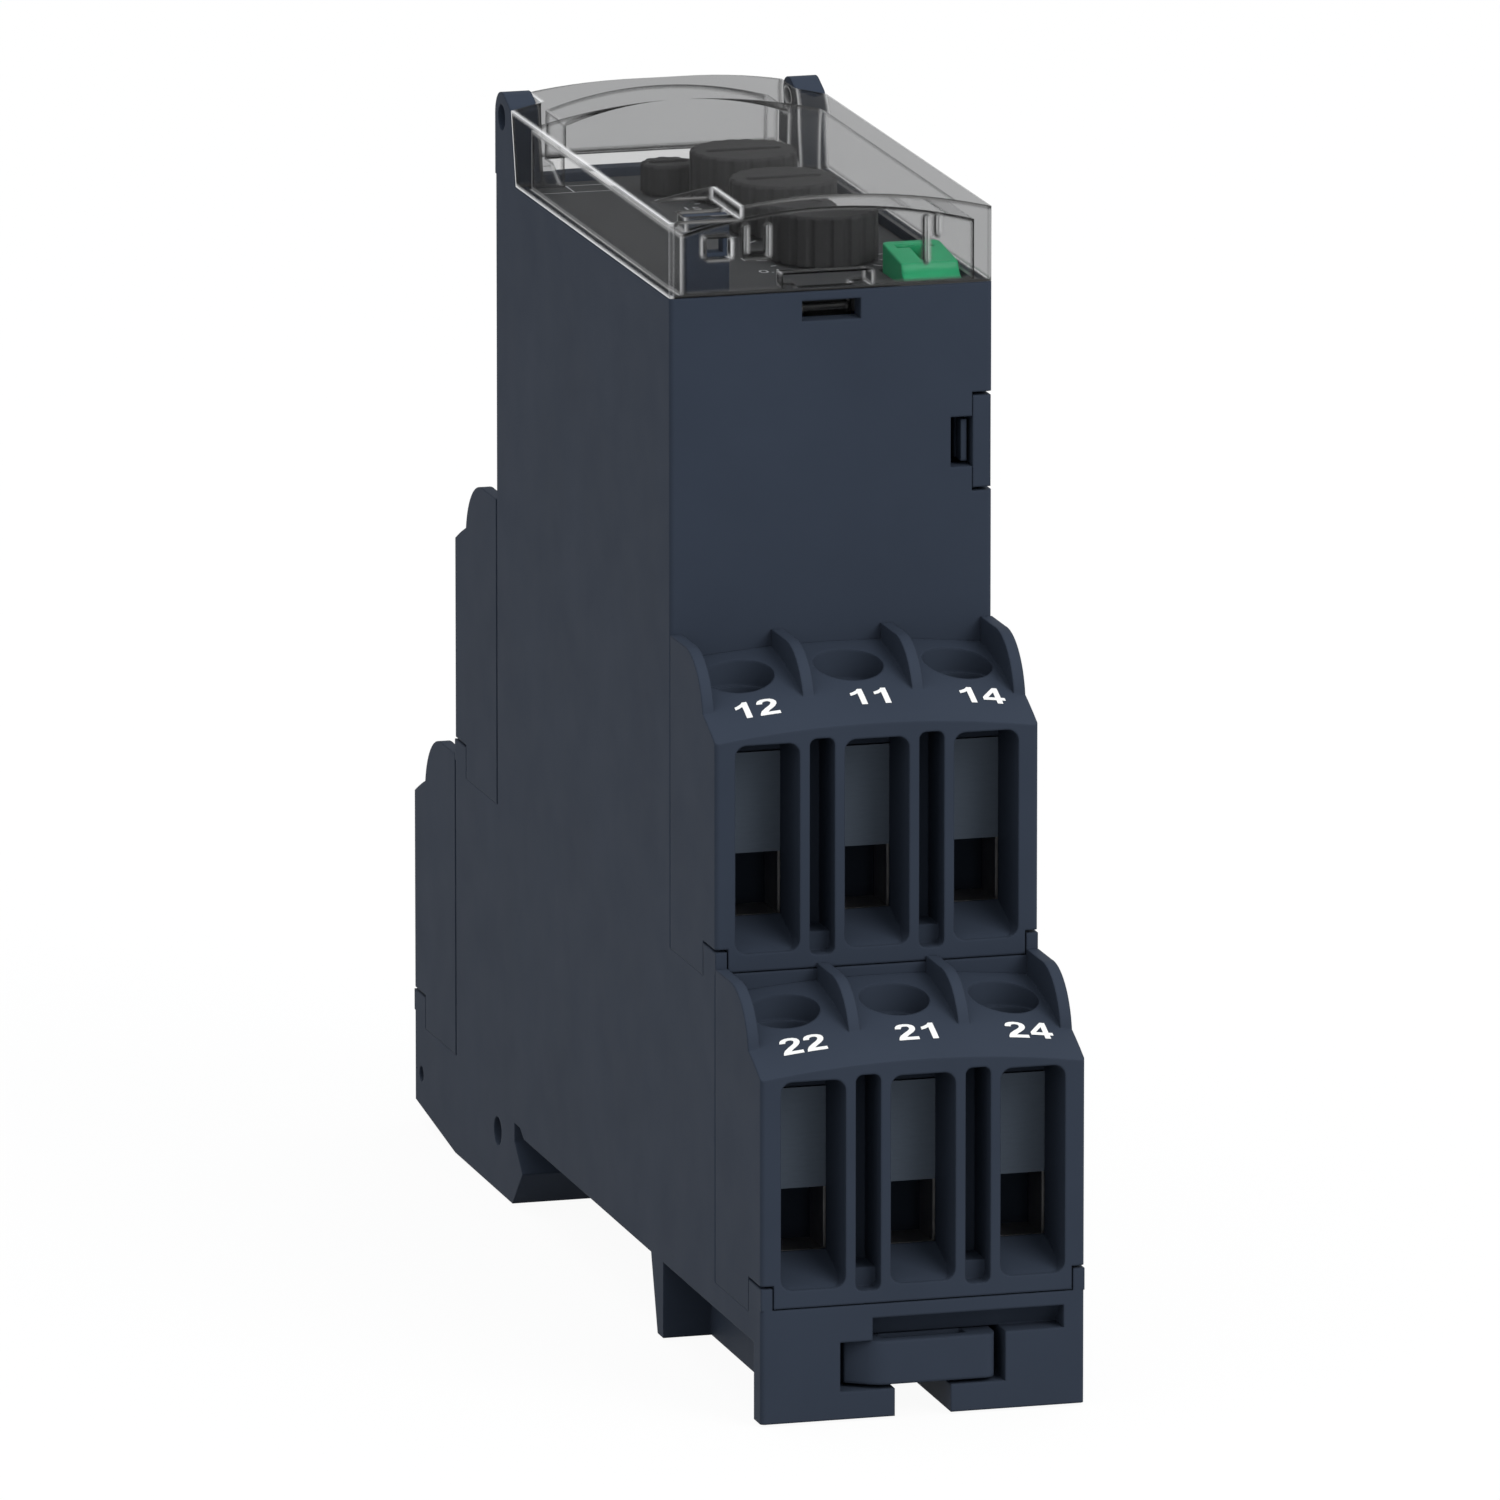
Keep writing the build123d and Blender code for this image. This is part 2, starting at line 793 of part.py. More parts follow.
tiers = (
    ("near_upper", 1, upper_face, upper_seat_z, ("12", "11", "14")),
    ("near_lower", 1, half_length, lower_seat_z, ("22", "21", "24")),
    ("far_upper", -1, upper_face, upper_seat_z, ("a1", "a2", "a3")),
    ("far_lower", -1, half_length, lower_seat_z, ("b1", "b2", "b3")),
)
for tier, facing, face, seat, terminals in tiers:
    turn = 0 if facing > 0 else 180
    place = Location((0, -facing * face, seat), (0, 0, turn))
    tier_block = block.part.moved(place)
    tier_block.label = f"terminal_block_{tier}"
    export_step(tier_block, f"parts/terminal_block_{tier}.step")
    strips = Compound([contact_strip(column, facing).moved(place) for column in terminal_columns])
    strips.label = f"contact_strips_{tier}"
    export_step(strips, f"parts/contact_strips_{tier}.step")
    for column, terminal in zip(terminal_columns, terminals):
        spot = place * Location((column, screw_setback, 0))
        tier_screw = screw.part.moved(spot)
        tier_screw.label = f"screw_{terminal}"
        export_step(tier_screw, f"parts/screw_{terminal}.step")
        tier_cage = cage.part.moved(spot)
        tier_cage.label = f"cage_{terminal}"
        export_step(tier_cage, f"parts/cage_{terminal}.step")


# Rail clip with its tab at the near face and its nose under the rail
with BuildPart() as din_clip:
    clip_half = clip_tab_width / 2
    clip_start = -half_length
    with BuildSketch(Plane.XY.offset(clip_low_z)):
        with BuildLine():
            Polyline(
                (-clip_half + tab_bevel_x, clip_start),
                (clip_half, clip_start),
                (clip_half, slot_near + nose_reach),
                (-clip_half, slot_near + nose_reach),
                (-clip_half, clip_start + tab_bevel_y),
                close=True,
            )
        make_face()
    extrude(amount=clip_top_z - clip_low_z)
    tab_front = din_clip.edges().group_by(Axis.Y)[0]
    fillet(tab_front.filter_by(Axis.Z).sort_by(Axis.X)[-1], tab_corner_round)
    fillet(tab_front.filter_by(Axis.Z).sort_by(Axis.X)[0], tab_bevel_round)
    # Nose, low enough to pass under the rail and bevelled to ride over it
    with BuildSketch(Plane.YZ):
        with BuildLine():
            Polyline(
                (slot_near - slide_gap, nose_top_z),
                (slot_near + nose_reach, nose_top_z),
                (slot_near + nose_reach, clip_top_z),
                (slot_near - slide_gap, clip_top_z),
                close=True,
            )
        make_face()
        with BuildLine():
            Polyline(
                (slot_near + 0.4, clip_low_z),
                (slot_near + nose_reach, clip_low_z),
                (slot_near + nose_reach, nose_top_z - 0.5),
                close=True,
            )
        make_face()
    extrude(amount=clip_half, both=True, mode=Mode.SUBTRACT)
    # Slot for the spring and its peg
    slot_start = -half_length + peg_y - peg_thickness / 2 - free_gap
    with Locations((0, slot_start, clip_low_z)):
        Box(
            spring_slot_width,
            -half_length + spring_slot_end - slot_start,
            clip_top_z - clip_low_z,
            align=(Align.CENTER, Align.MIN, Align.MIN),
            mode=Mode.SUBTRACT,
        )
    # Screwdriver slot in the top of the tab
    with Locations((0.3, -half_length + 1.5, clip_top_z)):
        Box(5.8, 1.2, 2.4, mode=Mode.SUBTRACT)
din_clip.part.label = "din_clip"
export_step(din_clip.part, "parts/din_clip.step")


# Return spring of the clip, between the peg and the end of the clip's slot
with BuildPart() as clip_spring:
    spring_from = -half_length + peg_y + peg_thickness / 2 + spring_wire + 0.02
    spring_to = -half_length + spring_slot_end - spring_wire - 0.02
    spring_z = (clip_low_z + clip_top_z) / 2
    coil_length = spring_to - spring_from
    with BuildLine():
        coil = Helix(
            coil_length / spring_turns,
            coil_length,
            spring_radius,
            center=(0, spring_from, spring_z),
            direction=(0, 1, 0),
        )
    with BuildSketch(Plane(origin=coil @ 0, z_dir=coil % 0)):
        Circle(spring_wire)
    sweep(path=coil)
clip_spring.part.label = "clip_spring"
export_step(clip_spring.part, "parts/clip_spring.step")


# Front panel with its stand-off legs, knob holes, and room for the button, latch and lug
button_gap = 0.15
with BuildPart() as faceplate:
    with BuildSketch(Plane.XY.offset(panel_low_z)):
        Rectangle(2 * (half_width - rim_wall - seam_gap), 2 * (cavity_upper - seam_gap))
        with Locations(*[(knob_x, y) for y in knob_y]):
            Circle(shaft_diameter / 2 + free_gap, mode=Mode.SUBTRACT)
        with Locations((selector_x, selector_y)):
            Circle(pot_shaft_diameter / 2 + free_gap, mode=Mode.SUBTRACT)
        with Locations((button_x, button_y)):
            Rectangle(button_width + 2 * button_gap, button_length + 2 * button_gap, mode=Mode.SUBTRACT)
        with Locations(*[(guide_x, y) for y in guide_y]):
            Circle(guide_diameter / 2, mode=Mode.SUBTRACT)
        with Locations((0, -cavity_upper)):
            Rectangle(latch_width + 2 * free_gap, 3.0, mode=Mode.SUBTRACT)
        with Locations((-half_width, -cavity_upper)):
            Rectangle(
                2 * (half_width + lug_x + lug_width + seam_gap),
                2 * (lug_thickness + 0.2 + seam_gap),
                mode=Mode.SUBTRACT,
            )
    extrude(amount=panel_thickness)
    with BuildSketch(Plane.XY.offset(panel_low_z)):
        leg_x = cavity_side - leg_inset
        leg_y = cavity_upper - face_ledge - leg_radius - free_gap
        with Locations((-leg_x, 3.2 - leg_y), (-leg_x, leg_y), (leg_x, leg_y), (leg_x, button_y + 5.0)):
            Circle(leg_radius)
    extrude(amount=-(panel_low_z - front_board_z - board_thickness))
faceplate.part.label = "faceplate"
export_step(faceplate.part, "parts/faceplate.step")


# Knobs, potentiometers and the range selector
def knob(diameter, height, shaft, flutes):
    """Fluted knob with a pointer slot, standing on the panel at the origin."""
    base = panel_top_z + knob_lift
    with BuildPart() as dial:
        with BuildSketch(Plane.XY.offset(base)):
            Circle(diameter / 2)
            with PolarLocations(diameter / 2 + 0.12, flutes):
                Circle(0.32, mode=Mode.SUBTRACT)
        extrude(amount=height)
        chamfer(dial.faces().sort_by(Axis.Z)[-1].edges(), 0.15)
        with BuildSketch(Plane.XY.offset(base + height)):
            SlotOverall(diameter * 0.72, 0.9)
        extrude(amount=-1.0, mode=Mode.SUBTRACT)
        with BuildSketch(Plane.XY.offset(base)):
            Circle(shaft / 2)
        extrude(amount=-(base - front_board_z - board_thickness - pot_height - 0.4))
        with BuildSketch(Plane.XY.offset(base)):
            Circle(pot_shaft_diameter / 2)
        extrude(amount=-(base - front_board_z - board_thickness - 1.2))
    return dial.part


def potentiometer(size):
    """Square control body on the front board, with a hole for the knob's shaft."""
    low = front_board_z + board_thickness
    with BuildPart() as body:
        with BuildSketch(Plane.XY.offset(low)):
            RectangleRounded(size, size, 0.5)
        extrude(amount=pot_height)
        with BuildSketch(Plane.XY.offset(low + pot_height)):
            Circle(pot_shaft_diameter / 2 + running_gap)
        extrude(amount=-(pot_height - 1.0), mode=Mode.SUBTRACT)
    return body.part


for name, y in zip(knob_names, knob_y):
    dial = knob(knob_diameter, knob_height, shaft_diameter, knob_flutes).moved(Location((knob_x, y, 0)))
    dial.label = f"knob_{name}"
    export_step(dial, f"parts/knob_{name}.step")
    control = potentiometer(pot_size).moved(Location((knob_x, y, 0)))
    control.label = f"potentiometer_{name}"
    export_step(control, f"parts/potentiometer_{name}.step")

selector = knob(selector_diameter, selector_height, pot_shaft_diameter, 10)
selector = selector.moved(Location((selector_x, selector_y, 0)))
selector.label = "range_selector"
export_step(selector, "parts/range_selector.step")
selector_switch = potentiometer(selector_switch_size).moved(Location((selector_x, selector_y, 0)))
selector_switch.label = "range_switch"
export_step(selector_switch, "parts/range_switch.step")


# Green push button with a stem on its switch
switch_top = front_board_z + board_thickness + 3.6
button_low_z = panel_low_z + button_travel + slide_gap
with BuildPart() as diagnostic_button:
    with BuildSketch(Plane.XY.offset(button_low_z)):
        with Locations((button_x, button_y)):
            RectangleRounded(button_width, button_length, 0.5)
    extrude(amount=panel_top_z + button_rise - button_low_z)
    # Hollowed near end and sloping top
    button_near = button_y - button_length / 2
    button_far = button_y + button_length / 2
    with BuildSketch(Plane.YZ.offset(button_x - button_width / 2)):
        with BuildLine():
            Polyline(
                (button_near + button_hollow, panel_top_z + button_rise - button_slope),
                (button_far, panel_top_z + button_rise),
                (button_near, panel_top_z + button_rise),
                (button_near, panel_top_z + button_lip),
            )
            ThreePointArc(
                (button_near, panel_top_z + button_lip),
                (button_near + 0.7 * button_hollow, panel_top_z + 2.4 * button_lip),
                (button_near + button_hollow, panel_top_z + button_rise - button_slope),
            )
        make_face()
    extrude(amount=button_width, mode=Mode.SUBTRACT)
    with BuildSketch(Plane.XY.offset(button_low_z)):
        with Locations((button_x, button_y)):
            Circle(0.9)
    extrude(amount=-(button_low_z - switch_top + 1.0))
    # Recessed test mark, a plain T
    with BuildSketch(Plane.XY.offset(panel_top_z + button_mark_z)):
        with Locations((button_x, button_far - 1.1)):
            Rectangle(2.6, 0.7)
        with Locations((button_x, button_far - 2.7)):
            Rectangle(0.8, 2.6)
    extrude(amount=button_rise, mode=Mode.SUBTRACT)
diagnostic_button.part.label = "diagnostic_button"
export_step(diagnostic_button.part, "parts/diagnostic_button.step")

with BuildPart() as button_switch:
    with BuildSketch(Plane.XY.offset(front_board_z + board_thickness)):
        with Locations((button_x - 0.95, button_y)):
            Rectangle(4.6, 4.6)
    extrude(amount=switch_top - front_board_z - board_thickness)
    with BuildSketch(Plane.XY.offset(switch_top)):
        with Locations((button_x, button_y)):
            Circle(0.9 + running_gap)
    extrude(amount=-1.6, mode=Mode.SUBTRACT)
button_switch.part.label = "button_switch"
export_step(button_switch.part, "parts/button_switch.step")


# Status lights: lamps on the front board under light guides in the panel
lamp_height = 1.0
for name, y in zip(("supply", "output"), guide_y):
    with BuildPart() as guide:
        with BuildSketch(Plane.XY.offset(front_board_z + board_thickness + lamp_height)):
            with Locations((guide_x, y)):
                Circle(guide_diameter / 2)
        extrude(amount=panel_top_z + 0.1 - front_board_z - board_thickness - lamp_height)
        chamfer(guide.edges().group_by(Axis.Z)[-1], 0.1)
    guide.part.label = f"light_guide_{name}"
    export_step(guide.part, f"parts/light_guide_{name}.step")

with BuildPart() as status_lamps:
    with BuildSketch(Plane.XY.offset(front_board_z + board_thickness)):
        with Locations(*[(guide_x, y) for y in guide_y]):
            Rectangle(1.6, 2.0)
    extrude(amount=lamp_height)
status_lamps.part.label = "status_lamps"
export_step(status_lamps.part, "parts/status_lamps.step")


# Clear front cover, hinged at the far end
def crown_section(half, low, side, rise):
    """Closed (x, z) outline with a crowned top edge."""
    with BuildSketch(Plane.XZ, mode=Mode.PRIVATE) as section:
        with BuildLine():
            Polyline((-half, side), (-half, low), (half, low), (half, side))
            ThreePointArc((half, side), (0, side + rise), (-half, side))
        make_face()
    return section.sketch


cover_low = rim_z + running_gap
cover_near = -half_front
mid_half = half_width - ear_thickness - 0.15
boss_half = mid_half - hinge_cheek
cover_far = half_front - 0.1
cover_peak = cover_side + cover_crown
cover_corner_y = hinge_y - 2.45
cover_corner_slope = 1.2
corner_wall_y = cover_corner_y - cover_corner_slope - cover_wall
with BuildPart() as front_cover:
    with BuildSketch(Plane.YZ):
        with BuildLine():
            Polyline(
                (cover_near, cover_low),
                (cover_corner_y - cover_corner_slope, cover_low),
                (cover_corner_y, cover_side),
                (cover_corner_y, cover_peak),
                (cover_near, cover_peak),
                close=True,
            )
        make_face()
    extrude(amount=half_width, both=True)
    # Middle part that reaches back between the ears
    with BuildSketch(Plane.YZ):
        with BuildLine():
            Polyline(
                (cover_far, hinge_z),
                (cover_far, far_wall_low_z),
                (hinge_y - 1.65, far_wall_low_z),
                (corner_wall_y + cover_wall, cover_low),
                (corner_wall_y, cover_low),
                (corner_wall_y, cover_peak),
                (hinge_y - 0.6, cover_peak),
            )
            ThreePointArc(
                (hinge_y - 0.6, cover_peak),
                (hinge_y + 1.05, hinge_z + 1.5),
                (cover_far, hinge_z),
            )
        make_face()
    extrude(amount=mid_half, both=True)
    # Crown across the width
    with BuildSketch(Plane.XZ.offset(half_length)):
        add(crown_section(half_width, cover_low, cover_side, cover_crown))
    extrude(amount=-length, mode=Mode.INTERSECT)
    cover_upright = front_cover.edges().filter_by(Axis.Z).group_by(Axis.Y)[0]
    fillet(cover_upright, edge_radius)
    # Inner space over the panel, narrower between the hinge's cheeks
    near_inner = -half_front + cover_wall
    with BuildSketch(Plane.XZ.offset(-near_inner)):
        add(crown_section(half_width - cover_wall, cover_low, cover_side - cover_roof, cover_crown))
    extrude(amount=-(corner_wall_y - near_inner), mode=Mode.SUBTRACT)
    with BuildSketch(Plane.XZ.offset(-near_inner)):
        add(crown_section(boss_half, cover_low, cover_side - cover_roof, cover_crown))
    extrude(amount=-(cover_far - cover_wall - near_inner), mode=Mode.SUBTRACT)
    # Lowered pad at the near left corner, open over the seal lug
    with Locations((-half_width, -half_front, corner_pad_z)):
        Box(
            corner_pad_x,
            corner_pad_y,
            2.0,
            align=(Align.MIN, Align.MIN, Align.MIN),
            mode=Mode.SUBTRACT,
        )
    with Locations((lug_x - 0.15, lug_y - 0.2, corner_pad_z - 2.0)):
        Box(
            lug_width + 0.3,
            lug_thickness + 0.8,
            2.5,
            align=(Align.MIN, Align.MIN, Align.MIN),
            mode=Mode.SUBTRACT,
        )
    with Locations((lug_x + lug_width / 2 + 0.3, (near_inner - half_front) / 2, seal_hole_z)):
        Box(seal_hole_width + 0.2, cover_wall, seal_hole_height + 0.2, mode=Mode.SUBTRACT)
    # Hinge pins
    for side in (-1, 1):
        pin_plane = Plane(origin=(side * mid_half, hinge_y, hinge_z), z_dir=(side, 0, 0))
        with BuildSketch(pin_plane):
            Circle(pin_diameter / 2)
        extrude(amount=pin_length)
    # Latch tongue behind the near wall, with a wide base and a small tooth
    tongue_y = -cavity_upper + 0.5
    with Locations((0, near_inner, cover_low)):
        Box(
            latch_base_width,
            tongue_y + tongue_thickness - near_inner,
            latch_base_height,
            align=(Align.CENTER, Align.MIN, Align.MIN),
        )
    with Locations((0, tongue_y, latch_slot_z - 0.1)):
        Box(
            latch_width - 2 * seam_gap,
            tongue_thickness,
            cover_low + 0.5 - latch_slot_z + 0.1,
            align=(Align.CENTER, Align.MIN, Align.MIN),
        )
    with Locations((0, tongue_y, latch_slot_z + 0.2)):
        Box(
            latch_width - 2 * free_gap,
            0.2,
            0.6,
            align=(Align.CENTER, Align.MAX, Align.MIN),
        )
    # Small frame and ribs inside the near wall, under the roof
    rib_top = cover_side - cover_roof + 0.4
    for rib_x, rib_low in tuple((x, frame_low_z) for x in frame_places) + rib_places:
        with Locations((rib_x, near_inner, rib_low)):
            Box(
                rib_thickness,
                rib_depth,
                rib_top - rib_low,
                align=(Align.CENTER, Align.MIN, Align.MIN),
            )
    with Locations(((frame_places[0] + frame_places[1]) / 2, near_inner, frame_low_z)):
        Box(
            frame_places[1] - frame_places[0],
            rib_depth,
            rib_thickness,
            align=(Align.CENTER, Align.MIN, Align.MIN),
        )
front_cover.part.label = "front_cover"
export_step(front_cover.part, "parts/front_cover.step")


# Main board, T shaped, on the housing's posts
with BuildPart() as main_board:
    with BuildSketch(Plane.YZ.offset(board_x)):
        with Locations((0, board_low_z)):
            Rectangle(2 * cavity_lower - 0.9, 17.5, align=(Align.CENTER, Align.MIN))
            Rectangle(2 * cavity_upper - 1.0, board_top_z - board_low_z, align=(Align.CENTER, Align.MIN))
        with Locations(*post_places):
            Circle(post_tip / 2 + seam_gap, mode=Mode.SUBTRACT)
    extrude(amount=board_thickness)
main_board.part.label = "main_board"
export_step(main_board.part, "parts/main_board.step")

with BuildPart() as front_board:
    with BuildSketch(Plane.XY.offset(front_board_z)):
        Rectangle(2 * cavity_side - 0.5, 2 * cavity_upper - 2.4)
    extrude(amount=board_thickness)
front_board.part.label = "front_board"
export_step(front_board.part, "parts/front_board.step")

with BuildPart() as board_header:
    with Locations((board_x, 0, front_board_z)):
        Box(header_thickness, header_length, header_height, align=(Align.MAX, Align.CENTER, Align.MAX))
    with Locations((board_x, 0, front_board_z)):
        Box(
            board_thickness,
            header_length,
            front_board_z - board_top_z,
            align=(Align.MIN, Align.CENTER, Align.MAX),
        )
board_header.part.label = "board_header"
export_step(board_header.part, "parts/board_header.step")


# Output relays, supply transformer, capacitor and controller chip on the main board
for name, y in zip(("output_relay_1", "output_relay_2"), relay_y):
    with BuildPart() as relay:
        with Locations((board_x, y, relay_low_z)):
            Box(*relay_size, align=(Align.MAX, Align.CENTER, Align.MIN))
        chamfer(relay.edges().group_by(Axis.X)[0], 0.5)
    relay.part.label = name
    export_step(relay.part, f"parts/{name}.step")

with BuildPart() as supply_transformer:
    transformer_y = core_size[1] / 2 - supply_reach
    with Locations((board_x, transformer_y, supply_z)):
        Box(*transformer_size, align=(Align.MAX, Align.CENTER, Align.MIN))
    with Locations((board_x - core_setback, transformer_y, supply_z + transformer_size[2] / 2)):
        Box(*core_size, align=(Align.MAX, Align.CENTER, Align.CENTER))
supply_transformer.part.label = "supply_transformer"
export_step(supply_transformer.part, "parts/supply_transformer.step")

with BuildPart() as supply_capacitor:
    with BuildSketch(Plane.XY.offset(supply_z)):
        with Locations((board_x - capacitor_diameter / 2, supply_reach - capacitor_diameter / 2)):
            Circle(capacitor_diameter / 2)
    extrude(amount=capacitor_length)
    fillet(supply_capacitor.edges().group_by(Axis.Z)[-1], 0.8)
supply_capacitor.part.label = "supply_capacitor"
export_step(supply_capacitor.part, "parts/supply_capacitor.step")

with BuildPart() as controller_chip:
    with Locations((board_x + board_thickness, 0, chip_z)):
        Box(chip_thickness, chip_size, chip_size, align=(Align.MIN, Align.CENTER, Align.CENTER))
controller_chip.part.label = "controller_chip"
export_step(controller_chip.part, "parts/controller_chip.step")
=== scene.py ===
import json
import math

import bmesh
import bpy
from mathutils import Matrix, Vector


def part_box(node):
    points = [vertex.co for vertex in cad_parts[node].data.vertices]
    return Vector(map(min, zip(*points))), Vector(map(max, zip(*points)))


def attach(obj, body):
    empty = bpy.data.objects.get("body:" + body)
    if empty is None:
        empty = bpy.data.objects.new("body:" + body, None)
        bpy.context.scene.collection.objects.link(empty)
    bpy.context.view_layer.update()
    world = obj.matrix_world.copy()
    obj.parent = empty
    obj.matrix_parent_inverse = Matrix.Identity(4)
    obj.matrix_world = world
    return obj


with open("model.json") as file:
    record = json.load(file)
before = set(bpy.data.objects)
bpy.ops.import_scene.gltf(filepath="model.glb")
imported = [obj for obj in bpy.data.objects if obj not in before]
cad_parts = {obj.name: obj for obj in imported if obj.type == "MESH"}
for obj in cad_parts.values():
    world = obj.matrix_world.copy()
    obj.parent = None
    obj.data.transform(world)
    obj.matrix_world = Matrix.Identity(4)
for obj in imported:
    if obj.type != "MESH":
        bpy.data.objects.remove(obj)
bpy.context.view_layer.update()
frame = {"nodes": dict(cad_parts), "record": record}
nodes = frame["nodes"]
MM = 0.001


# Shader nodes
def add(nt, kind, sockets=None, **fields):
    """New shader node, with its fields set, and its inputs set by name or number."""
    node = nt.nodes.new("ShaderNode" + kind)
    for field, value in fields.items():
        setattr(node, field, value)
    for socket, value in (sockets or {}).items():
        node.inputs[socket].default_value = value
    return node


def tree(name):
    """New material whose Principled shader is joined to its output."""
    mat = bpy.data.materials.new(name)
    mat.use_nodes = True
    nt = mat.node_tree
    nt.nodes.clear()
    out = add(nt, "OutputMaterial")
    bsdf = add(nt, "BsdfPrincipled")
    nt.links.new(bsdf.outputs[0], out.inputs[0])
    return mat, nt, bsdf, out


def object_place(nt):
    return add(nt, "TexCoord").outputs["Object"]


def noise(nt, coord, scale, detail=3.0, rough=0.55):
    node = add(nt, "TexNoise", {"Scale": scale, "Detail": detail, "Roughness": rough})
    nt.links.new(coord, node.inputs["Vector"])
    return node.outputs["Fac"]


def ramp(nt, share, low, high):
    """Colour that goes from low to high over the middle of the share."""
    node = add(nt, "ValToRGB")
    for element, position, colour in zip(node.color_ramp.elements, (0.3, 0.7), (low, high)):
        element.position = position
        element.color = (*colour, 1)
    nt.links.new(share, node.inputs[0])
    return node.outputs[0]


def spread(nt, value, low, high, start=0.0, end=1.0):
    """Number that goes from low to high while the value goes from start to end."""
    node = add(nt, "MapRange", {"From Min": start, "From Max": end, "To Min": low, "To Max": high})
    nt.links.new(value, node.inputs["Value"])
    return node.outputs[0]


def blend(nt, share, first, second):
    """Mix of two colours, each a plain colour or a socket."""
    node = add(nt, "Mix", data_type="RGBA")
    nt.links.new(share, node.inputs[0])
    for socket, colour in ((node.inputs[6], first), (node.inputs[7], second)):
        if isinstance(colour, tuple):
            socket.default_value = (*colour, 1)
        else:
            nt.links.new(colour, socket)
    return node.outputs[2]


def combine(nt, operation, *values):
    """Result of one operation on plain numbers and sockets."""
    node = add(nt, "Math", operation=operation)
    for socket, value in zip(node.inputs, values):
        if isinstance(value, float):
            socket.default_value = value
        else:
            nt.links.new(value, socket)
    return node.outputs[0]


def bump(nt, height, strength, distance):
    node = add(nt, "Bump", {"Strength": strength, "Distance": distance})
    nt.links.new(height, node.inputs["Height"])
    return node


def seen(nt):
    """1 for a ray from the eye, through something clear or off something shiny, else 0."""
    path = add(nt, "LightPath")
    direct = combine(nt, "MAXIMUM", path.outputs["Is Camera Ray"], path.outputs["Is Transmission Ray"])
    return combine(nt, "MAXIMUM", direct, path.outputs["Is Glossy Ray"])


# Materials
def moulded(name, colour, rough=0.5, vary=0.1, relief=0.03, spec=0.2, edge=0.00022):
    """Moulded plastic: fine spark-eroded grain, faint flow mottling and softened edges."""
    mat, nt, bsdf, out = tree(name)
    coord = object_place(nt)
    low = tuple(c * (1 - vary) for c in colour)
    high = tuple(c * (1 + vary) for c in colour)
    tint = ramp(nt, noise(nt, coord, 90.0, 4.0), low, high)
    nt.links.new(tint, bsdf.inputs["Base Color"])
    shine = spread(nt, noise(nt, coord, 260.0), rough - 0.06, rough + 0.06)
    nt.links.new(shine, bsdf.inputs["Roughness"])
    bsdf.inputs["Specular IOR Level"].default_value = spec
    grain = bump(nt, noise(nt, coord, 9000.0, 2.0), relief, 0.00004)
    if edge:
        bevel = add(nt, "Bevel", {"Radius": edge}, samples=4)
        nt.links.new(bevel.outputs[0], grain.inputs["Normal"])
    nt.links.new(grain.outputs[0], bsdf.inputs["Normal"])
    return mat


def plated(name, colour, rough, stretch):
    """Zinc or tin plated metal with drawn streaks and small stains."""
    mat, nt, bsdf, out = tree(name)
    mapping = add(nt, "Mapping", {"Scale": stretch})
    nt.links.new(object_place(nt), mapping.inputs["Vector"])
    streak = noise(nt, mapping.outputs[0], 900.0, 4.0, 0.6)
    tint = ramp(nt, streak, tuple(c * 0.82 for c in colour), colour)
    nt.links.new(tint, bsdf.inputs["Base Color"])
    nt.links.new(spread(nt, streak, rough - 0.08, rough + 0.12), bsdf.inputs["Roughness"])
    bsdf.inputs["Metallic"].default_value = 1.0
    nt.links.new(bump(nt, streak, 0.08, 0.00003).outputs[0], bsdf.inputs["Normal"])
    return mat


def outer_face(nt, flat, coord, middle):
    """1 on faces that look away from the middle of a hollow piece, 0 on the faces inside it."""
    away = add(nt, "VectorMath", operation="SCALE")
    nt.links.new(flat.outputs["True Normal"], away.inputs[0])
    flip = combine(nt, "MULTIPLY_ADD", flat.outputs["Backfacing"], -2.0, 1.0)
    nt.links.new(flip, away.inputs["Scale"])
    local = add(nt, "VectorTransform", vector_type="NORMAL", convert_from="WORLD", convert_to="OBJECT")
    nt.links.new(away.outputs[0], local.inputs[0])
    arm = add(nt, "VectorMath", {1: middle}, operation="SUBTRACT")
    nt.links.new(coord, arm.inputs[0])
    facing = add(nt, "VectorMath", operation="DOT_PRODUCT")
    nt.links.new(local.outputs[0], facing.inputs[0])
    nt.links.new(arm.outputs[0], facing.inputs[1])
    return combine(nt, "GREATER_THAN", facing.outputs["Value"], 0.0)


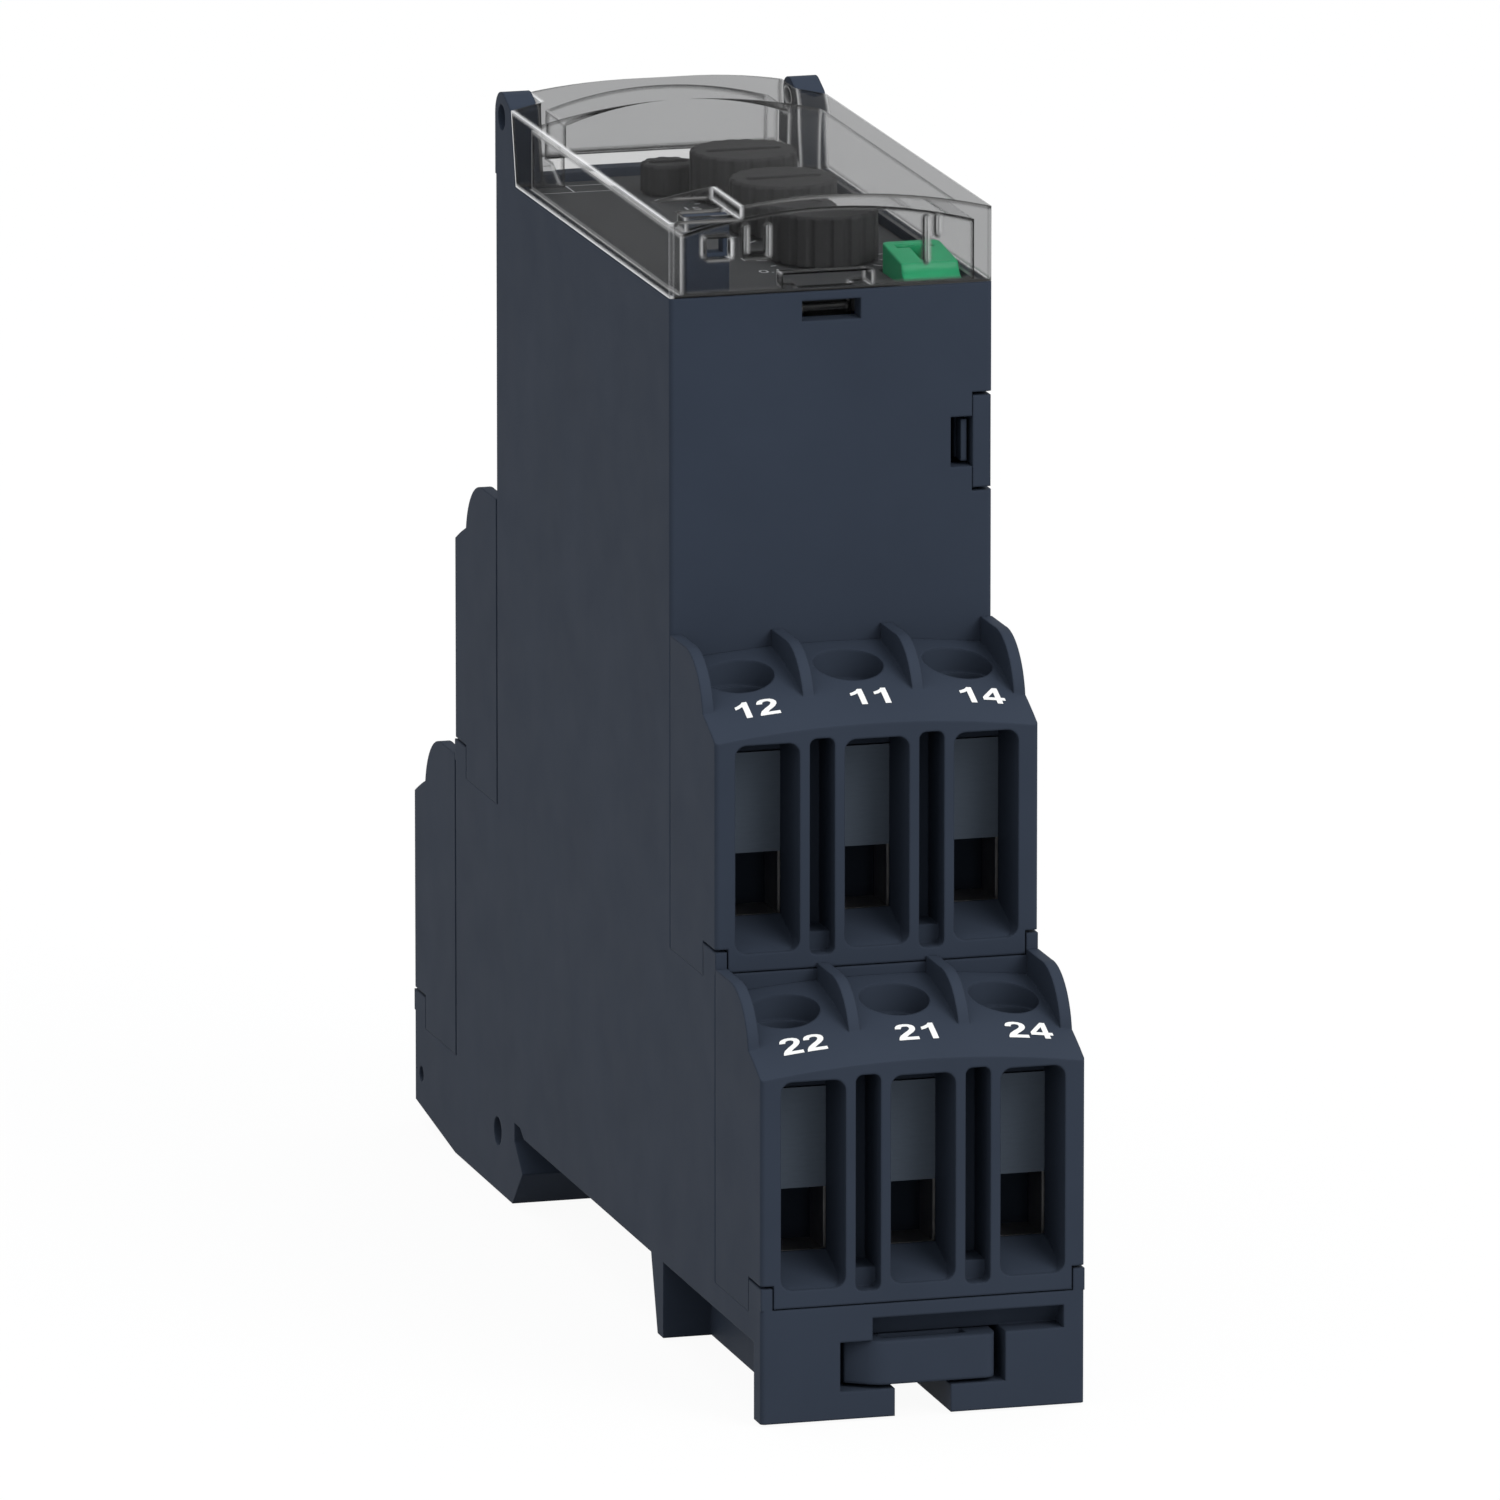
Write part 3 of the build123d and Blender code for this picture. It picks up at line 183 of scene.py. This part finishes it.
def clear(name, colour, edge, middle):
    """Clear moulding, tinted by its outer faces, which bends light little and has rounded edges.

    The edges are painted: a pale painted highlight where they face left, towards the side lamp, and
    near-black painted shade elsewhere.
    """
    mat, nt, bsdf, out = tree(name)
    coord = object_place(nt)
    haze = noise(nt, coord, 140.0)
    tint = ramp(nt, haze, tuple(c * 0.97 for c in colour), colour)
    bevel = add(nt, "Bevel", {"Radius": edge}, samples=8)
    flat = add(nt, "NewGeometry")
    agree = add(nt, "VectorMath", operation="DOT_PRODUCT")
    nt.links.new(bevel.outputs[0], agree.inputs[0])
    nt.links.new(flat.outputs["Normal"], agree.inputs[1])
    flatness = agree.outputs["Value"]
    inner = spread(nt, flatness, 0.0, 1.0, 0.97, 0.997)
    # Painted edge light: bevelled edges that turn left get a white painted glint, and all other edges
    # get a near-black painted shade.
    side = add(nt, "SeparateXYZ")
    nt.links.new(bevel.outputs[0], side.inputs[0])
    faces_side_lamp = spread(nt, side.outputs["X"], 0.0, 1.0, -0.20, -0.40)
    painted_edge_glint_and_shade = blend(nt, faces_side_lamp, (0.0006, 0.0006, 0.0006), (0.9, 0.9, 0.9))
    body = blend(nt, outer_face(nt, flat, coord, middle), (0.98, 0.98, 0.98), tint)
    nt.links.new(blend(nt, inner, painted_edge_glint_and_shade, body), bsdf.inputs["Base Color"])
    # Edges let less light through, so the painted glint and painted shade of the edge colour show as a
    # surface.
    clarity = spread(nt, flatness, 0.3, 0.99, 0.97, 0.997)
    nt.links.new(clarity, bsdf.inputs["Transmission Weight"])
    gloss = spread(nt, flatness, 1.0, 0.01, 0.96, 0.995)
    nt.links.new(gloss, bsdf.inputs["Coat Weight"])
    nt.links.new(spread(nt, haze, 0.03, 0.08), bsdf.inputs["Coat Roughness"])
    nt.links.new(bevel.outputs[0], bsdf.inputs["Coat Normal"])
    bsdf.inputs["Coat IOR"].default_value = 1.45
    bsdf.inputs["Roughness"].default_value = 0.0
    bsdf.inputs["IOR"].default_value = 1.012
    through = add(nt, "BsdfTransparent", {"Color": (0.84, 0.845, 0.85, 1)})
    mix = add(nt, "MixShader")
    nt.links.new(add(nt, "LightPath").outputs["Is Shadow Ray"], mix.inputs[0])
    nt.links.new(bsdf.outputs[0], mix.inputs[1])
    nt.links.new(through.outputs[0], mix.inputs[2])
    nt.links.new(mix.outputs[0], out.inputs[0])
    return mat


def board_material(name):
    """Circuit board: green resist with copper tracks just showing under it."""
    mat, nt, bsdf, out = tree(name)
    coord = object_place(nt)
    bricks = add(nt, "TexBrick", {
        "Scale": 420.0,
        "Color1": (0.015, 0.13, 0.05, 1),
        "Color2": (0.02, 0.16, 0.06, 1),
        "Mortar": (0.06, 0.26, 0.10, 1),
        "Mortar Size": 0.03,
    })
    nt.links.new(coord, bricks.inputs["Vector"])
    nt.links.new(bricks.outputs[0], bsdf.inputs["Base Color"])
    nt.links.new(spread(nt, noise(nt, coord, 500.0), 0.25, 0.4), bsdf.inputs["Roughness"])
    nt.links.new(bump(nt, bricks.outputs["Fac"], 0.2, 0.00005).outputs[0], bsdf.inputs["Normal"])
    return mat


CASE = (0.0355, 0.0455, 0.0655)
COVER = (0.37, 0.373, 0.376)
COVER_MIDDLE = sum((Vector(corner) for corner in nodes["front_cover"].bound_box), Vector()) / 8
MATERIALS = {
    "case_plastic": moulded("case_plastic", CASE, rough=0.55, vary=0.05, spec=0.02),
    "panel_plastic": moulded("panel_plastic", (0.075, 0.077, 0.080), rough=0.55, vary=0.08, spec=0.02),
    "knob_plastic": moulded("knob_plastic", (0.050, 0.050, 0.051), rough=0.48, vary=0.05, relief=0.01,
                            spec=0.02),
    "black_plastic": moulded("black_plastic", CASE, rough=0.52, vary=0.05, spec=0.02, edge=0.0003),
    "green_plastic": moulded("green_plastic", (0.012, 0.42, 0.17), rough=0.35, vary=0.05, relief=0.01,
                             spec=0.3, edge=0.0003),
    "clear_plastic": clear("clear_plastic", COVER, 0.0005, COVER_MIDDLE),
    "lamp_plastic": moulded("lamp_plastic", (0.62, 0.66, 0.60), rough=0.35, spec=0.5, edge=0),
    "circuit_board": board_material("circuit_board"),
    "relay_plastic": moulded("relay_plastic", (0.55, 0.55, 0.52), rough=0.45, spec=0.4),
    "capacitor_sleeve": moulded("capacitor_sleeve", (0.02, 0.03, 0.07), rough=0.25, spec=0.5, edge=0),
    "potentiometer_plastic": moulded("potentiometer_plastic", (0.06, 0.13, 0.36), rough=0.4, spec=0.4),
    "contact_metal": plated("contact_metal", (0.095, 0.117, 0.150), 0.62, (1, 1, 6)),
    "screw_steel": plated("screw_steel", (0.42, 0.42, 0.43), 0.36, (1, 1, 1)),
    "cage_steel": plated("cage_steel", (0.30, 0.30, 0.31), 0.42, (5, 1, 1)),
    "spring_steel": plated("spring_steel", (0.5, 0.5, 0.5), 0.3, (1, 4, 1)),
}
SLOTS = {s["node"]: s["material_slot"] for s in frame["record"]["subparts"]}
for name, obj in nodes.items():
    mat = MATERIALS[SLOTS[name]]
    for slot in obj.material_slots:
        slot.material = mat
    if not obj.material_slots:
        obj.data.materials.append(mat)

ink = moulded("white_ink", (0.88, 0.88, 0.86), rough=0.5, vary=0.03, relief=0.02, spec=0.3, edge=0)
grey_ink = moulded("grey_ink", (0.62, 0.63, 0.64), rough=0.5, vary=0.05, spec=0.3, edge=0)

# Prints lie this far over the plastic and are cut this finely to follow it, in mm
PRINT = 0.03
PRINT_STEP = 0.35


def ride_case(name, mesh, mat):
    """Object of a printed mesh that belongs to the case."""
    mesh.materials.clear()
    mesh.materials.append(mat)
    obj = bpy.data.objects.new(name, mesh)
    bpy.context.collection.objects.link(obj)
    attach(obj, "case")


def print_on(name, mesh, mat, shape):
    """Print whose points are moved by shape from millimetres to the frame."""
    bm = bmesh.new()
    bm.from_mesh(mesh)
    for axis in (0, 1):
        low = min(v.co[axis] for v in bm.verts)
        high = max(v.co[axis] for v in bm.verts)
        steps = max(2, int((high - low) / PRINT_STEP))
        across = Vector((axis == 0, axis == 1, 0))
        for i in range(1, steps):
            geom = bm.verts[:] + bm.edges[:] + bm.faces[:]
            at = across * (low + (high - low) * i / steps)
            bmesh.ops.bisect_plane(bm, geom=geom, plane_co=at, plane_no=across)
    for v in bm.verts:
        v.co = shape(v.co)
    bmesh.ops.recalc_face_normals(bm, faces=bm.faces)
    bm.to_mesh(mesh)
    bm.free()
    ride_case(name, mesh, mat)


# Terminal numbers on the blocks' crowned roofs
def block_place(node):
    """Distance of a near block's face from the middle and height of its seat, in mm."""
    low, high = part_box(node)
    return -low[1] / MM, low[2] / MM


UPPER_FACE, UPPER_SEAT = block_place("terminal_block_near_upper")
LOWER_FACE, LOWER_SEAT = block_place("terminal_block_near_lower")
TIER_DEPTH = LOWER_FACE - UPPER_FACE
HALF_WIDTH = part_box("terminal_block_near_upper")[1][0] / MM
TERMINAL_PITCH = 7.62

# The roof is a round arc from front to back, raised by a crown across
ROOF_RADIUS = 30.0
ROOF_EDGE = 16.45
ROOF_BACK = 19.8
CROWN = 0.75
ROOF_RISE = ROOF_BACK - ROOF_EDGE
ROOF_CHORD = math.hypot(TIER_DEPTH, ROOF_RISE)
ROOF_DROP = math.sqrt(ROOF_RADIUS ** 2 - (ROOF_CHORD / 2) ** 2)
ROOF_Y = TIER_DEPTH / 2 + ROOF_DROP * ROOF_RISE / ROOF_CHORD
ROOF_Z = (ROOF_EDGE + ROOF_BACK) / 2 - ROOF_DROP * TIER_DEPTH / ROOF_CHORD
CROWN_RADIUS = (HALF_WIDTH ** 2 + CROWN ** 2) / (2 * CROWN)


def roof(x, y):
    """Height of a block's roof over its seat, in mm, y behind its face."""
    rise = math.sqrt(CROWN_RADIUS ** 2 - x * x) - (CROWN_RADIUS - CROWN)
    return ROOF_Z + math.sqrt((ROOF_RADIUS + rise) ** 2 - (y - ROOF_Y) ** 2)


# Outlines of the figures in figure heights; the 4 is in pieces, because it is open in the middle
ONE = [
    (0.550, 0), (0.550, 1), (0.394, 1), (0.350, 0.912), (0.268, 0.840), (0.175, 0.782),
    (0.1105, 0.751), (0.1105, 0.577), (0.250, 0.635), (0.358, 0.722), (0.358, 0),
]
TWO = [
    (0.704, 0.177), (0.320, 0.177), (0.400, 0.280), (0.510, 0.380), (0.610, 0.490), (0.670, 0.590),
    (0.696, 0.700), (0.690, 0.800), (0.640, 0.900), (0.530, 0.975), (0.377, 1.0), (0.230, 0.980),
    (0.120, 0.920), (0.060, 0.820), (0.040, 0.707), (0.230, 0.688), (0.250, 0.780), (0.300, 0.830),
    (0.370, 0.845), (0.440, 0.835), (0.490, 0.790), (0.505, 0.720), (0.475, 0.630), (0.400, 0.540),
    (0.270, 0.420), (0.120, 0.260), (0.055, 0.120), (0.035, 0), (0.704, 0),
]
FOUR_STEM = [
    (0.4366, 0), (0.622, 0), (0.622, 0.201), (0.622, 0.370), (0.622, 1), (0.461, 1),
    (0.4366, 0.9645), (0.4366, 0.709), (0.4366, 0.370), (0.4366, 0.201),
]
FOUR_SLOPE = [(0.027, 0.369), (0.207, 0.370), (0.4366, 0.709), (0.4366, 0.9645)]
FOUR_BAR = [(0.027, 0.201), (0.4366, 0.201), (0.4366, 0.370), (0.207, 0.370), (0.027, 0.369)]
FOUR_END = [(0.622, 0.201), (0.746, 0.201), (0.746, 0.370), (0.622, 0.370)]
FIGURES = {"1": [ONE], "2": [TWO], "4": [FOUR_STEM, FOUR_SLOPE, FOUR_BAR, FOUR_END]}
FIGURE_STEP = 0.777
FIGURE_WIDE = 2.12
FIGURE_HIGH = 1.7

# The numbers stand this far right of their screw and behind the face, and spread a little, in mm
NUMBER_RIGHT = 0.27
NUMBER_BACK = 2.75
NUMBER_SPREAD = 1.03


def number_mesh(name, number):
    """Flat bold number in millimetres, centred on the origin."""
    bm = bmesh.new()
    for i, figure in enumerate(number):
        for outline in FIGURES[figure]:
            bm.faces.new([bm.verts.new((x + FIGURE_STEP * i, y, 0)) for x, y in outline])
    bmesh.ops.remove_doubles(bm, verts=bm.verts, dist=0.0001)
    bmesh.ops.triangulate(bm, faces=bm.faces, ngon_method="EAR_CLIP")
    xs = [v.co.x for v in bm.verts]
    middle = (min(xs) + max(xs)) / 2
    for v in bm.verts:
        v.co = ((v.co.x - middle) * FIGURE_WIDE, (v.co.y - 0.5) * FIGURE_HIGH, 0)
    mesh = bpy.data.meshes.new(name)
    bm.to_mesh(mesh)
    bm.free()
    return mesh


def roof_print(number, face, seat, column):
    def shape(co):
        x = NUMBER_SPREAD * column + NUMBER_RIGHT + co.x
        y = NUMBER_BACK + co.y
        return Vector((x, y - face, seat + roof(x, y) + PRINT)) * MM

    name = "figure_" + number
    print_on(name, number_mesh(name, number), ink, shape)


TIERS = (
    (("12", "11", "14"), UPPER_FACE, UPPER_SEAT),
    (("22", "21", "24"), LOWER_FACE, LOWER_SEAT),
)
for numbers, face, seat in TIERS:
    for number, column in zip(numbers, (-TERMINAL_PITCH, 0, TERMINAL_PITCH)):
        roof_print(number, face, seat, column)


# Dials and lines on the panel
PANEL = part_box("faceplate")[1][2] / MM
PANEL_STRETCH = 1.1
DIAL_RADIUS = 3.85
DIAL_TICKS = 11
DIAL_START = 225
DIAL_TURN = 270
TICK_LONG = 0.75
TICK_SHORT = 0.45
TICK_THICK = 0.14
DIAL_FIGURE = 0.95
DIAL_FIGURE_OUT = 1.6
DIAL_FIGURE_ANGLES = (212, 165, -28)


def text_mesh(name, words, size):
    """Flat mesh of a word in millimetres, centred on the origin, of the given figure height."""
    curve = bpy.data.curves.new(name + "_font", "FONT")
    curve.body = words
    curve.size = 1.0
    curve.resolution_u = 4
    curve.align_x = "CENTER"
    temp = bpy.data.objects.new(name + "_temp", curve)
    bpy.context.collection.objects.link(temp)
    bpy.context.view_layer.update()
    mesh = bpy.data.meshes.new_from_object(temp)
    mesh.name = name
    bpy.data.objects.remove(temp)
    bpy.data.curves.remove(curve)
    xs = [v.co.x for v in mesh.vertices]
    ys = [v.co.y for v in mesh.vertices]
    middle = Vector(((min(xs) + max(xs)) / 2, (min(ys) + max(ys)) / 2, 0))
    scale = size / (max(ys) - min(ys))
    for v in mesh.vertices:
        v.co = (v.co - middle) * scale
        v.co.x *= PANEL_STRETCH
    return mesh


def panel_print(name, words, x, y, size):
    def shape(co):
        return Vector((x + co.x, y + co.y, PANEL + PRINT)) * MM

    print_on(name, text_mesh(name, words, size), grey_ink, shape)


def strokes(name, lines, thick):
    """Thin flat bars on the panel, in mm, each from one point to another."""
    bm = bmesh.new()
    for start, end in lines:
        a = Vector(start)
        b = Vector(end)
        n = (b - a).orthogonal().normalized() * thick / 2
        corners = [a + n, a - n, b - n, b + n]
        bm.faces.new([bm.verts.new(Vector((*corner, PANEL + PRINT)) * MM) for corner in corners])
    bmesh.ops.recalc_face_normals(bm, faces=bm.faces)
    mesh = bpy.data.meshes.new(name)
    bm.to_mesh(mesh)
    bm.free()
    ride_case(name, mesh, grey_ink)


def dial(knob, figures):
    """Scale of ticks round a knob, with plain figures at its ends and middle."""
    low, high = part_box("knob_" + knob)
    middle = Vector((low[0] + high[0], low[1] + high[1])) / 2 / MM

    def spoke(degrees, out):
        angle = math.radians(degrees)
        return middle + (DIAL_RADIUS + out) * Vector((math.cos(angle), math.sin(angle)))

    lines = []
    for i in range(DIAL_TICKS):
        degrees = DIAL_START - DIAL_TURN * i / (DIAL_TICKS - 1)
        lines.append((spoke(degrees, 0), spoke(degrees, TICK_SHORT if i % 2 else TICK_LONG)))
    name = knob + "_dial"
    strokes(name + "_scale", lines, TICK_THICK)
    for figure, degrees in zip(figures, DIAL_FIGURE_ANGLES):
        at = spoke(degrees, DIAL_FIGURE_OUT)
        panel_print(name + "_" + figure.replace(".", "p"), figure, at.x, at.y, DIAL_FIGURE)


dial("delay", ("0.1", "1", "10"))
dial("hysteresis", ("5", "10", "20"))
dial("value", ("15", "60", "600"))

# Outline of the range table, by its upright and level lines
TABLE_X = (-9.6, -6.9, -4.2)
TABLE_Y = (17.2, 19.4)
TABLE_THICK = 0.13
uprights = [((x, TABLE_Y[0]), (x, TABLE_Y[1])) for x in TABLE_X]
levels = [((TABLE_X[0], y), (TABLE_X[-1], y)) for y in TABLE_Y]
strokes("range_table", uprights + levels, TABLE_THICK)


# Camera, at the photograph's own angle and distance
CAMERA_PLACE = Vector((-0.40168, -1.43088, 0.37379))
CAMERA_AIM = Vector((-0.00578, -0.02285, 0.04103))
CAMERA_LENS = 534.73

cam = bpy.data.cameras.new("camera")
cam.sensor_width = 36.0
cam.lens = CAMERA_LENS
cam.clip_end = 20.0
eye = bpy.data.objects.new("camera", cam)
bpy.context.collection.objects.link(eye)
eye.location = CAMERA_PLACE
eye.rotation_euler = (CAMERA_AIM - CAMERA_PLACE).to_track_quat("-Z", "Y").to_euler()
bpy.context.scene.camera = eye


# Soft lamps, all aimed at the middle of the object
LAMP_AIM = Vector((0, 0, 0.04))


def lamp(name, place, size, power):
    data = bpy.data.lights.new(name, "AREA")
    data.shape = "SQUARE"
    data.size = size
    data.energy = power
    obj = bpy.data.objects.new(name, data)
    bpy.context.collection.objects.link(obj)
    obj.location = place
    obj.rotation_euler = (LAMP_AIM - Vector(place)).to_track_quat("-Z", "Y").to_euler()


lamp("key", (0.55, -0.95, 0.80), 0.7, 9.0)
lamp("side", (-1.05, -0.25, 0.45), 0.7, 0.5)
lamp("top", (0.0, 0.15, 1.10), 0.9, 2.4)


# Floor just under the feet, seen white and lit like pale grey
FLOOR_HALF = 3.0
FLOOR_LOW = 0.2 * MM
FLOOR_GLOW = 1.1
FLOOR_SHARE = 0.86

bm = bmesh.new()
bmesh.ops.create_grid(bm, x_segments=8, y_segments=8, size=FLOOR_HALF)
bmesh.ops.translate(bm, verts=bm.verts, vec=(0, 0, -FLOOR_LOW))
floor_mesh = bpy.data.meshes.new("floor")
bm.to_mesh(floor_mesh)
bm.free()
floor = bpy.data.objects.new("floor", floor_mesh)
bpy.context.collection.objects.link(floor)
mat, nt, bsdf, out = tree("floor")
tone = ramp(nt, noise(nt, object_place(nt), 3.0), (0.34, 0.34, 0.34), (0.36, 0.36, 0.36))
nt.links.new(tone, bsdf.inputs["Base Color"])
bsdf.inputs["Roughness"].default_value = 0.9
bsdf.inputs["Specular IOR Level"].default_value = 0.1
glow = add(nt, "Emission", {"Strength": FLOOR_GLOW})
mix = add(nt, "MixShader")
nt.links.new(combine(nt, "MULTIPLY", seen(nt), FLOOR_SHARE), mix.inputs[0])
nt.links.new(bsdf.outputs[0], mix.inputs[1])
nt.links.new(glow.outputs[0], mix.inputs[2])
nt.links.new(mix.outputs[0], out.inputs[0])
floor_mesh.materials.append(mat)

# Surroundings, seen white and lighting the object a little less
world = bpy.data.worlds.new("world")
bpy.context.scene.world = world
world.use_nodes = True
nt = world.node_tree
nt.nodes.clear()
lit = add(nt, "Background", {"Color": (0.95, 0.97, 1.0, 1), "Strength": 0.8})
shown = add(nt, "Background", {"Strength": 1.0})
mix = add(nt, "MixShader")
nt.links.new(seen(nt), mix.inputs[0])
nt.links.new(lit.outputs[0], mix.inputs[1])
nt.links.new(shown.outputs[0], mix.inputs[2])
nt.links.new(mix.outputs[0], add(nt, "OutputWorld").inputs[0])

bpy.context.scene.view_settings.view_transform = "Standard"
